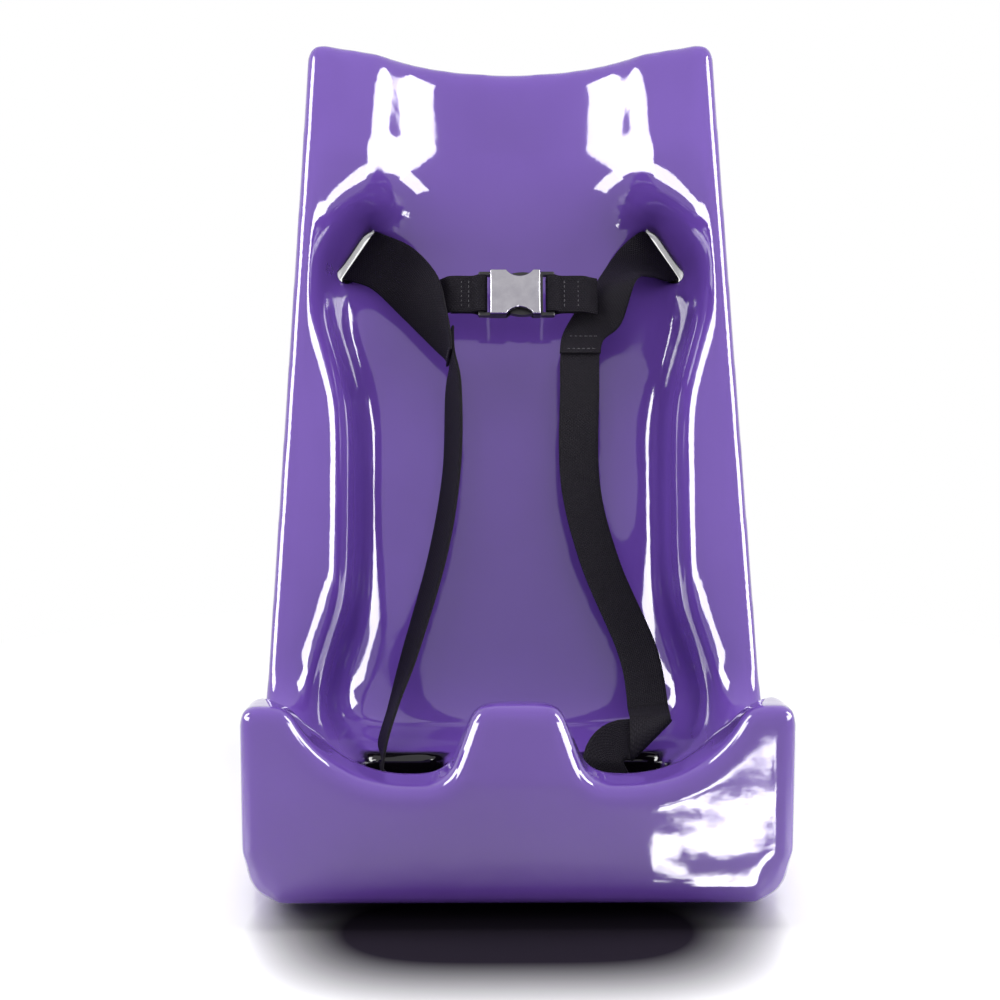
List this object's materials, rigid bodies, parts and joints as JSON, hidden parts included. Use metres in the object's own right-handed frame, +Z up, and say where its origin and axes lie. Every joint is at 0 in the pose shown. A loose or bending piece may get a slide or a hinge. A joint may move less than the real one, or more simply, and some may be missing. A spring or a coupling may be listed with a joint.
{
  "type": "feeder seat",
  "caption": "Reclined foam bucket seat for a child, with side wings, leg cut-outs, a pommel and a webbing harness that closes with a chest buckle.",
  "frame": {"origin": "centre of the flat face that the seat rests on", "axes": "+Z up, -Y towards the front (the leg cut-outs), X across; X = 0 is the middle plane"},
  "size_m": [0.305, 0.4153, 0.465],
  "materials": {
    "skin": "high gloss sprayed vinyl skin over foam",
    "webbing": "ribbed woven webbing",
    "thread": "bonded thread",
    "slide_plastic": "satin moulded",
    "buckle_plastic": "satin moulded",
    "buckle_bright": "bright plated"
  },
  "bodies": {
    "root": {"seat_body": "skin", "left_shoulder_strap": "webbing", "right_shoulder_strap": "webbing", "left_hip_strap": "webbing", "right_hip_strap": "webbing", "left_chest_strap": "webbing", "right_chest_strap": "webbing", "left_chest_stitching": "thread", "right_chest_stitching": "thread", "rear_stitching": "thread"},
    "buckle_housing": {"buckle_housing": "buckle_plastic", "buckle_cover": "buckle_bright"},
    "buckle_plug": {"buckle_plug": "buckle_plastic"},
    "upper_release_arm": {"upper_release_arm": "buckle_plastic"},
    "lower_release_arm": {"lower_release_arm": "buckle_plastic"},
    "left_slide": {"left_slide": "slide_plastic"},
    "right_slide": {"right_slide": "slide_plastic"}
  },
  "joints": [
    {"name": "housing_draw", "type": "slide", "parent": "root", "child": "buckle_housing", "axis": [-1, 0, 0], "range_m": [0, 0.012], "deforming": ["left_chest_strap", "left_chest_stitching"]},
    {"name": "plug_draw", "type": "slide", "parent": "root", "child": "buckle_plug", "axis": [1, 0, 0], "range_m": [0, 0.012], "deforming": ["right_chest_strap", "right_chest_stitching", "upper_release_arm", "lower_release_arm"]},
    {"name": "upper_release_press", "type": "hinge", "parent": "buckle_plug", "child": "upper_release_arm", "pos_m": [0.01635, 0.15065, 0.32086], "axis": [0, -0.866, 0.5], "range_deg": [0, 9], "stiffness_Nm_per_rad": 0.2},
    {"name": "lower_release_press", "type": "hinge", "parent": "buckle_plug", "child": "lower_release_arm", "pos_m": [0.01635, 0.14205, 0.30596], "axis": [0, 0.866, -0.5], "range_deg": [0, 9], "stiffness_Nm_per_rad": 0.2},
    {"name": "left_slide_travel", "type": "slide", "parent": "root", "child": "left_slide", "axis": [0, 0.3113, 0.9503], "range_m": [-0.03, 0.03]},
    {"name": "right_slide_travel", "type": "slide", "parent": "root", "child": "right_slide", "axis": [0, 0.3113, 0.9503], "range_m": [-0.03, 0.03]}
  ],
  "couplings": [
    {"joint": "plug_draw", "follows": "housing_draw", "ratio": 1}
  ]
}
